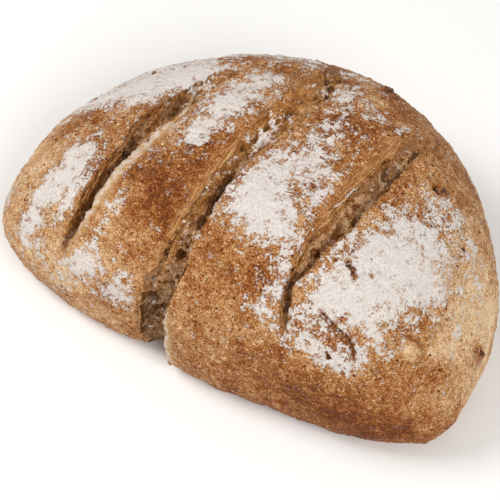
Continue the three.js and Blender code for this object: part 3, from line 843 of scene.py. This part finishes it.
def torn_shreds(finish):
    """Shreds of skin along the lips. Each follows a straight line in x and over with a noise across it, and
    is a ring of points at every step: an upright ellipse, which narrows to both ends as a sine to the power
    of 0.6 and is torn by a noise along its upper edge."""
    share = np.linspace(0, 1, SHRED_STEPS)[:, None]
    angle = np.linspace(0, 2 * pi, SHRED_ROUND + 1)[:-1]
    slim = np.sin(pi * share) ** 0.6
    points, faces, flour = [], [], []
    for n, (x0, over0, x1, over1, height, lean, dusting) in enumerate(SHREDS):
        x, over = x0 + (x1 - x0) * share, over0 + (over1 - over0) * share
        x = x + lumps(loaf_points(x, over, 0 * x), SHRED_WANDER, n)
        line = loaf_points(x, over, 0 * x)
        inward = sink(line, np.ones_like(x)) - line
        aside = np.cross(np.gradient(line[:, 0], axis=0)[:, None], inward)
        aside /= np.linalg.norm(aside, axis=-1, keepdims=True)
        tall = height * slim * np.clip(0.6 + 1.5 * rough(line, 2.4, 91 + n, 4), 0.05, 1.6)
        thick = (0.5 + 0.3 * noise(line, 1.8, 51 + n)) * slim * (1.3 - np.sin(angle)) / 1.6
        ring = line + (lean * aside - inward) * (tall * (0.15 + 0.6 * np.sin(angle)))[..., None]
        ring = ring + aside * (thick * np.cos(angle))[..., None]
        faces.append(ring_faces(*ring.shape[:2])[:, ::-1] + n * SHRED_STEPS * SHRED_ROUND)
        points.append(ring.reshape(-1, 3))
        flour.append(np.full(len(points[-1]), dusting))
    kept, faces = weld(np.concatenate(points), np.concatenate(faces))
    points, flour = np.concatenate(points)[kept], np.concatenate(flour)[kept]
    none = np.zeros(len(points))
    fields = dict(flour=flour, torn=none, pale=none)
    fields.update(brown=none + SHRED_BROWN, stretched=none + SHRED_STRETCHED)
    x, y = points[:, 0], points[:, 1]
    new_piece("torn_shreds", points, faces, finish, "crust", across=x, along=y, **fields)


NUT_RINGS = 22
NUT_ROUND = 30
NUT_SHAPE = (1, 0.8, 0.75)


def walnut_bits(finish):
    """Chopped walnut: spheres, flattened a little, with their radius times 1 + a rough noise."""
    down = np.linspace(0, pi, NUT_RINGS)[:, None]
    turn = np.arange(NUT_ROUND) * 2 * pi / NUT_ROUND
    sphere = (np.sin(down) * np.cos(turn), np.sin(down) * np.sin(turn), np.cos(down) + 0 * turn)
    sphere = np.stack(sphere, -1)
    points, faces = [], []
    for n, (x, over, radius, proud) in enumerate(WALNUT):
        centre = loaf_points(np.array([x]), np.array([over]), np.array([-proud]))[0]
        lumpy = np.clip(1 + 1.1 * rough(sphere + 5 * n, 0.8, 5, 4)[..., None], 0.55, 1.4)
        points.append((centre + radius * lumpy * sphere * NUT_SHAPE).reshape(-1, 3))
        faces.append(ring_faces(NUT_RINGS, NUT_ROUND) + n * NUT_RINGS * NUT_ROUND)
    kept, faces = weld(np.concatenate(points), np.concatenate(faces))
    new_piece("walnut_bits", np.concatenate(points)[kept], faces, finish, "nut")


# Loose grains: how many, and their smallest and largest radius
FLOUR_GRAINS = (7000, 0.13, 0.42)
BRAN_FLAKES = (420, 0.2, 0.55)
FLOUR_EVERYWHERE = 0.004
THIN_FLOUR = (0.45, 0.17)  # amount of flour at which most grains lie loose, and how far from it they still do


def strewn(name, finish, slot, points, normals, radii, random):
    """Loose grains, as flat lumps with eight faces: a corner up and one down at 0.6 of the radius, and four
    round, at the radius times 0.7 to 1.3. Each is turned about the surface's direction at random."""
    across = np.cross(normals, random.normal(size=points.shape))
    across /= np.linalg.norm(across, axis=1, keepdims=True)
    other = np.cross(normals, across)
    wide, narrow = radii[:, None] * random.uniform(0.7, 1.3, (2, len(points), 1))
    high = 0.6 * radii[:, None]
    middle = points + 0.5 * high * normals
    halves = (wide * across, narrow * other, high * normals)
    corners = (halves[0], halves[1], -halves[0], -halves[1], halves[2], -halves[2])
    corners = np.stack([middle + corner for corner in corners], 1).reshape(-1, 3)
    i = np.arange(4)
    following = (i + 1) % 4
    lump = np.concatenate([np.stack([i, following, 0 * i + 4], 1), np.stack([following, i, 0 * i + 5], 1)])
    faces = (lump[None] + 6 * np.arange(len(points))[:, None, None]).reshape(-1, 3)
    new_piece(name, corners, faces, finish, slot)


def loose_grains(crust, flour_finish, bran_finish):
    """Loose flour, likeliest where its patches thin out, as a bell exp(-d^2) of the flour's amount, and a few
    dark flakes of bran where there is little flour."""
    points, normals, flour, size = crust
    random = np.random.default_rng(12)
    upward = np.clip(normals[:, 2] + 0.5, 0, 1) * size
    clustered = step_up(rough(points, 9, 97), -0.1, 0.45)
    thinning = np.exp(-(((flour - THIN_FLOUR[0]) / THIN_FLOUR[1]) ** 2))
    flour_chance = upward * (FLOUR_EVERYWHERE + clustered * thinning)
    bran_chance = size * (points[:, 2] > 1) * (1 - 0.8 * np.minimum(flour, 1))
    for name, finish, slot, chance, (count, small, large) in (
        ("flour_grains", flour_finish, "flour", flour_chance, FLOUR_GRAINS),
        ("bran_flakes", bran_finish, "crust", bran_chance, BRAN_FLAKES),
    ):
        picked = random.choice(len(points), count, replace=False, p=chance / chance.sum())
        radii = small + (large - small) * random.random(count) ** 2
        aside = random.normal(0, 0.3, (count, 3))
        aside -= (aside * normals[picked]).sum(1, keepdims=True) * normals[picked]
        strewn(name, finish, slot, points[picked] + aside, normals[picked], radii, random)


# ---- Finishes ----

# Patterns, each from a real size in millimetres: how many of it go on a metre. A pixel of the photo's view is
# 0.5 mm wide, so meal of 0.3 mm and flour of 0.1 mm are drawn as coarse as they need to show.
HEAT_BLOTCHES = 1 / (14.29 * MM)  # where the oven browned it more or less
CRUST_MOTTLE = 1 / (2.381 * MM)  # skin over the bubbles just below it
CRUST_MEAL = 1 / (0.7143 * MM)  # coarse meal, drawn twice as coarse as it is
# Specks: dark bran, and pale ones that are partly painted glints on small bubbles
BRAN_SPECKS = 1 / (2.083 * MM)  # from one speck of bran to the next
FLOUR_CLUMPS = 1 / (5 * MM)  # where it fell thicker or thinner
FLOUR_SALT = 1 / (1.1765 * MM)  # little heaps of grains, drawn far coarser than the grains
CRUMB_BUBBLES = 1 / (3.125 * MM)  # the larger bubbles of the dough
CRUMB_WALLS = 1 / (0.9091 * MM)  # finer bubbles in the walls between them
STREAKS = 1 / 0.9091  # across the stretched skin, whose fields are in millimetres themselves
STREAK_SQUEEZE = 0.14  # the streaks are 7 times as long as they are wide

# Shades as the stops of ramps: a place along the tone, and the colour there
CRUST_SHADES = (
    (0.0, "#edd0a7"), (0.2, "#ddb488"), (0.42, "#bd8a56"),
    (0.62, "#9d5d23"), (0.82, "#7a3c09"), (1, "#5b2806"),
)
STRETCHED_SHADES = ((0.6, "#d2a875"), (0.82, "#b47b46"), (1.1, "#8a5424"))
TORN_SHADES = ((0.35, "#5f4026"), (0.65, "#ab8560"))
PALE_SHADES = ((0.52, "#a06c38"), (0.7, "#c4955c"), (0.94, "#dcc8b6"))
FLOUR_SHADES = ((0.3, "#ede6e0"), (0.7, "#d6cbc4"))
CRUMB_SHADES = ((0.55, "#e3cdb4"), (0.75, "#c69e73"), (0.92, "#966438"), (1.0, "#693f1d"))
TOASTED_SHADES = ((0.5, "#d0a874"), (0.75, "#aa7540"), (1.0, "#7a4820"))
# Colour of the painted shade down in the crumb's pockets and shadowed places
PAINTED_SHADE_COLOUR = "#42260f"
WALNUT_SHADES = ((0.34, "#2e1708"), (0.5, "#66391a"), (0.64, "#a8713d"))
GRAIN_SHADES = ((0.35, "#ece2d6"), (0.65, "#dac6ae"))
BRAN_SHADES = ((0.35, "#2c1a0c"), (0.65, "#6b4423"))
PAPER_SHADE = "#f4f3f1"
ROOM_SHADE = "#fbfaf8"


def linear(colour):
    """sRGB hex colour as linear red, green, blue and alpha."""
    channels = [int(colour[i : i + 2], 16) / 255 for i in (1, 3, 5)]
    return *(c / 12.92 if c <= 0.04045 else ((c + 0.055) / 1.055) ** 2.4 for c in channels), 1


def add(tree, kind, inputs, out=0, stops=(), **settings):
    """Adds a node with its settings and gives one of its outputs. Each input is a value, or the socket that
    it is linked from. Stops are the places and colours of a ramp."""
    node = tree.nodes.new("ShaderNode" + kind)
    for setting, value in settings.items():
        setattr(node, setting, value)
    for i, (place, colour) in enumerate(stops):
        elements = node.color_ramp.elements
        stop = elements[i] if i < 2 else elements.new(place)
        stop.position = place
        stop.color = linear(colour)
    for key, value in inputs.items():
        if isinstance(value, bpy.types.NodeSocket):
            tree.links.new(value, node.inputs[key])
        else:
            node.inputs[key].default_value = value
    return node.outputs[out]


def new_finish(name, **values):
    """A new material, its tree and its shader, with the values that are the same all over it. The shader's
    other values are a typical baked or dry food's: no metal, and the default IOR of 1.5."""
    finish = bpy.data.materials.new(name)
    finish.use_nodes = True
    shader = finish.node_tree.nodes["Principled BSDF"]
    for value, setting in values.items():
        shader.inputs[value.replace("_", " ").title().replace("Ior", "IOR")].default_value = setting
    return finish, finish.node_tree, shader


def browned_crust():
    """Crust of wheat and rye, baked on stone: dry and nearly matt, unevenly browned, grainy with meal and
    specked with bran. Its tone is the browning plus the sum of each noise times its share, and one ramp turns
    that to a colour. Stretched skin, torn crumb and the pale crumb of a lip are mixed in by their fields."""
    finish, tree, shader = new_finish("baked_rye_wheat_crust", specular_ior_level=0.2)
    place = add(tree, "TexCoord", {}, "Object")
    names = ("flour", "brown", "torn", "stretched", "pale", "across", "along")
    fields = {name: add(tree, "Attribute", {}, "Fac", attribute_name=name) for name in names}
    broad = add(tree, "TexNoise", {"Vector": place, "Scale": HEAT_BLOTCHES, "Detail": 3})
    mid = add(tree, "TexNoise", {"Vector": place, "Scale": CRUST_MOTTLE, "Detail": 3, "Roughness": 0.6})
    fine = add(tree, "TexNoise", {"Vector": place, "Scale": CRUST_MEAL, "Detail": 3})
    # Each speck has a random shade: three in ten are pale and one in ten is dark. The pale ones are pale meal
    # and partly painted glints on small bubbles.
    from_speck = add(tree, "TexVoronoi", {"Vector": place, "Scale": BRAN_SPECKS})
    chosen = add(tree, "SeparateColor", {0: from_speck.node.outputs["Color"]})
    on_speck = add(tree, "MapRange", {0: from_speck, 1: 0.36, 2: 0.2})
    pale_speck_and_glint = add(tree, "MapRange", {0: chosen, 1: 0.7, 2: 0.8})
    dark_speck = add(tree, "MapRange", {0: chosen, 1: 0.1, 2: 0.05})
    speck = add(tree, "Math", {0: pale_speck_and_glint, 1: -0.3, 2: dark_speck}, operation="MULTIPLY_ADD")
    tone = fields["brown"]
    for part, share in ((on_speck, speck), (broad, 0.85), (mid, 0.9), (fine, 1.4)):
        tone = add(tree, "Math", {0: part, 1: share, 2: tone}, operation="MULTIPLY_ADD")
    tone = add(tree, "Math", {0: tone, 1: 1.455}, operation="SUBTRACT")
    crust = add(tree, "ValToRGB", {"Fac": tone}, stops=CRUST_SHADES)

    along = add(tree, "Math", {0: fields["along"], 1: STREAK_SQUEEZE}, operation="MULTIPLY")
    stretch = add(tree, "CombineXYZ", {0: fields["across"], 1: along})
    streaks = add(tree, "TexNoise", {"Vector": stretch, "Scale": STREAKS, "Detail": 3})
    streaks = add(tree, "Math", {0: fine, 1: 0.7, 2: streaks}, operation="MULTIPLY_ADD")
    bare = add(tree, "Math", {0: fields["torn"], 1: 0.75}, operation="MULTIPLY")
    pale = add(tree, "Math", {0: fields["pale"], 1: 0.36, 2: mid}, operation="MULTIPLY_ADD")
    for share, shade, stops in (
        (fields["stretched"], streaks, STRETCHED_SHADES),
        (bare, mid, TORN_SHADES),
        (fields["pale"], pale, PALE_SHADES),
    ):
        layer = add(tree, "ValToRGB", {"Fac": shade}, stops=stops)
        crust = add(tree, "Mix", {0: share, 6: crust, 7: layer}, 2, data_type="RGBA")

    colour, cover = dusted(tree, place, fields["flour"], crust)
    matt = add(tree, "MapRange", {0: cover, 3: 0.56, 4: 0.95})
    height = fine
    for part, share in ((mid, 0.9), (cover, 0.25)):
        height = add(tree, "Math", {0: part, 1: share, 2: height}, operation="MULTIPLY_ADD")
    bump = add(tree, "Bump", {"Height": height, "Distance": 0.001, "Strength": 1.0})
    tree.links.new(colour, shader.inputs["Base Color"])
    tree.links.new(matt, shader.inputs["Roughness"])
    tree.links.new(bump, shader.inputs["Normal"])
    return finish


def dusted(tree, place, flour, below):
    """A colour with flour over it, and how much the flour covers. Dry flour is white and wholly matt. It lies
    where there is more of it than a noise, so that its patches break up at their edges and let the skin
    through in holes, and in the thick of them a veil of it covers the holes too."""
    clumps = add(tree, "TexNoise", {"Vector": place, "Scale": FLOUR_CLUMPS, "Detail": 5, "Roughness": 0.72})
    salt = add(tree, "TexNoise", {"Vector": place, "Scale": FLOUR_SALT, "Detail": 3, "Roughness": 0.7})
    grain = add(tree, "MapRange", {0: clumps, 1: 0.25, 2: 0.75, 3: -1.05, 4: 0.45})
    grain = add(tree, "Math", {0: salt, 1: 1.6, 2: grain}, operation="MULTIPLY_ADD")
    spare = add(tree, "Math", {0: flour, 1: grain}, operation="SUBTRACT")
    cover = add(tree, "MapRange", {0: spare, 1: -0.07, 2: 0.1, 4: 0.82}, interpolation_type="SMOOTHSTEP")
    thick = add(tree, "MapRange", {0: spare, 1: 0.0, 2: 0.5, 4: 0.18})
    cover = add(tree, "Math", {0: cover, 1: thick}, operation="ADD")
    veil = add(tree, "MapRange", {0: flour, 1: 0.5, 2: 1.15, 4: 0.55}, interpolation_type="SMOOTHSTEP")
    cover = add(tree, "Math", {0: cover, 1: veil}, operation="MAXIMUM")
    white = add(tree, "ValToRGB", {"Fac": salt}, stops=FLOUR_SHADES)
    return add(tree, "Mix", {0: cover, 6: below, 7: white}, 2, data_type="RGBA"), cover


def torn_crumb():
    """Moist rye crumb, torn open by the oven: pale, matt and uneven, with a toasted skin where it lay open
    longest, and painted shade in its pores and down in its pockets. Its tone is the sum of each noise and the
    pores' depth times their shares, so the pores' depth paints their shade."""
    finish, tree, shader = new_finish("torn_rye_crumb", specular_ior_level=0.1, roughness=0.85)
    place = add(tree, "TexCoord", {}, "Object")
    names = ("pit", "toast", "deep", "flour")
    fields = {name: add(tree, "Attribute", {}, "Fac", attribute_name=name) for name in names}
    mid = add(tree, "TexNoise", {"Vector": place, "Scale": CRUMB_BUBBLES, "Detail": 5, "Roughness": 0.65})
    fine = add(tree, "TexNoise", {"Vector": place, "Scale": CRUMB_WALLS, "Detail": 2})
    tone = mid
    # The pores' depth darkens the tone: painted shade in them
    for part, share in ((fields["pit"], 0.15), (fine, 0.6)):
        tone = add(tree, "Math", {0: part, 1: share, 2: tone}, operation="MULTIPLY_ADD")
    crumb = add(tree, "ValToRGB", {"Fac": tone}, stops=CRUMB_SHADES)
    skin = add(tree, "ValToRGB", {"Fac": tone}, stops=TOASTED_SHADES)
    share = add(tree, "Math", {0: fields["toast"], 1: mid}, operation="SUBTRACT")
    share = add(tree, "MapRange", {0: share, 1: -0.1, 2: 0.15}, interpolation_type="SMOOTHSTEP")
    colour = add(tree, "Mix", {0: share, 6: crumb, 7: skin}, 2, data_type="RGBA")
    # Painted shade, by the pockets' depth and the painted shadow patches
    shade = add(tree, "MapRange", {0: fields["deep"], 1: 0.3, 2: 3, 4: 0.75})
    colour = add(tree, "Mix", {0: shade, 6: colour, 7: linear(PAINTED_SHADE_COLOUR)}, 2, data_type="RGBA")
    colour, _ = dusted(tree, place, fields["flour"], colour)
    bump = add(tree, "Bump", {"Height": tone, "Distance": 0.0008, "Strength": 1.0})
    tree.links.new(colour, shader.inputs["Base Color"])
    tree.links.new(bump, shader.inputs["Normal"])
    return finish


def mottled(name, patch, stops, roughness):
    """A finish in uneven shades, in patches of that size in millimetres, which stand out as well."""
    finish, tree, shader = new_finish(name, roughness=roughness)
    place = add(tree, "TexCoord", {}, "Object")
    scale = 1 / (patch * MM)
    shade = add(tree, "TexNoise", {"Vector": place, "Scale": scale, "Detail": 4, "Roughness": 0.6})
    colour = add(tree, "ValToRGB", {"Fac": shade}, stops=stops)
    bump = add(tree, "Bump", {"Height": shade, "Distance": 0.0004})
    tree.links.new(colour, shader.inputs["Base Color"])
    tree.links.new(bump, shader.inputs["Normal"])
    return finish


# ---- Floor, light and camera ----

CAMERA_AZIMUTH = radians(28.1)
CAMERA_ELEVATION = radians(55.6)
CAMERA_DISTANCE = 0.788
TARGET = Vector((0, Y_OF_RIDGE * MM, 0.035))
LENS = 123.4
FRAME_SHIFT = (-0.00136, -0.0215)
# Each lamp's angle round the loaf and above the floor in degrees, its watts and its width in metres
LAMPS = (("soft_key", -75, 50, 10, 0.6), ("soft_fill", 58, 40, 8.7, 0.7))
LAMP_DISTANCE = 1.3
ROOM_LIGHT = 0.5
FLOOR_SIDE = 6


def towards(azimuth, elevation):
    """Unit vector from the loaf towards a place at that angle round it, from the front side, and above."""
    return Vector((sin(azimuth) * cos(elevation), -cos(azimuth) * cos(elevation), sin(elevation)))


def stand(name, data, direction, distance):
    """A lamp or camera in that direction from the loaf's middle and at that distance, turned towards it."""
    placed = bpy.data.objects.new(name, data)
    placed.location = TARGET + direction * distance
    placed.rotation_euler = direction.to_track_quat("Z", "Y").to_euler()
    bpy.context.scene.collection.objects.link(placed)
    return placed


def studio():
    """Floor of pale matt paper, which takes soft shadows, a bright room, two soft lamps and the camera."""
    floor_mesh = bpy.data.meshes.new("studio_floor")
    corners = [(FLOOR_SIDE * x, FLOOR_SIDE * y, 0) for x, y in ((-1, -1), (1, -1), (1, 1), (-1, 1))]
    floor_mesh.from_pydata(corners, [], [(0, 1, 2, 3)])
    floor = bpy.data.objects.new("studio_floor", floor_mesh)
    bpy.context.scene.collection.objects.link(floor)
    paper, _, shader = new_finish("pale_paper", roughness=0.9)
    shader.inputs["Base Color"].default_value = linear(PAPER_SHADE)
    floor_mesh.materials.append(paper)

    room = bpy.data.worlds.new("soft_room")
    room.use_nodes = True
    background = room.node_tree.nodes["Background"]
    background.inputs["Color"].default_value = linear(ROOM_SHADE)
    background.inputs["Strength"].default_value = ROOM_LIGHT
    bpy.context.scene.world = room
    for name, azimuth, elevation, watts, width in LAMPS:
        lamp = bpy.data.lights.new(name, "AREA")
        lamp.energy = watts
        lamp.size = width
        stand(name, lamp, towards(radians(azimuth), radians(elevation)), LAMP_DISTANCE)

    lens = bpy.data.cameras.new("camera")
    lens.sensor_width = 36
    lens.lens = LENS
    lens.shift_x, lens.shift_y = FRAME_SHIFT
    camera = stand("camera", lens, towards(CAMERA_AZIMUTH, CAMERA_ELEVATION), CAMERA_DISTANCE)
    bpy.context.scene.camera = camera
    bpy.context.scene.view_settings.view_transform = "Standard"


studio()
skin = browned_crust()
crust = crust_skin(skin)
torn_shreds(skin)
# Roasted walnut: dark brown skin, with paler wrinkles 1.6 mm apart and a faint oily gleam
walnut_bits(mottled("roasted_walnut", 1.6, WALNUT_SHADES, 0.6))
# Sifted flour and toasted bran: grains too small for a pattern, so each shade runs over a few millimetres of
# them. Flour is white and wholly matt, and bran is dark with a little more gleam.
loose_flour = mottled("loose_flour", 3, GRAIN_SHADES, 0.95)
loose_grains(crust, loose_flour, mottled("dark_bran", 3, BRAN_SHADES, 0.7))
crumb = torn_crumb()
for n, slash in enumerate(SLASHES):
    crumb_liner(f"torn_crumb_{n + 1}", slash, crumb, slash["opens"] if n != 1 else -TUCK_SHARE)
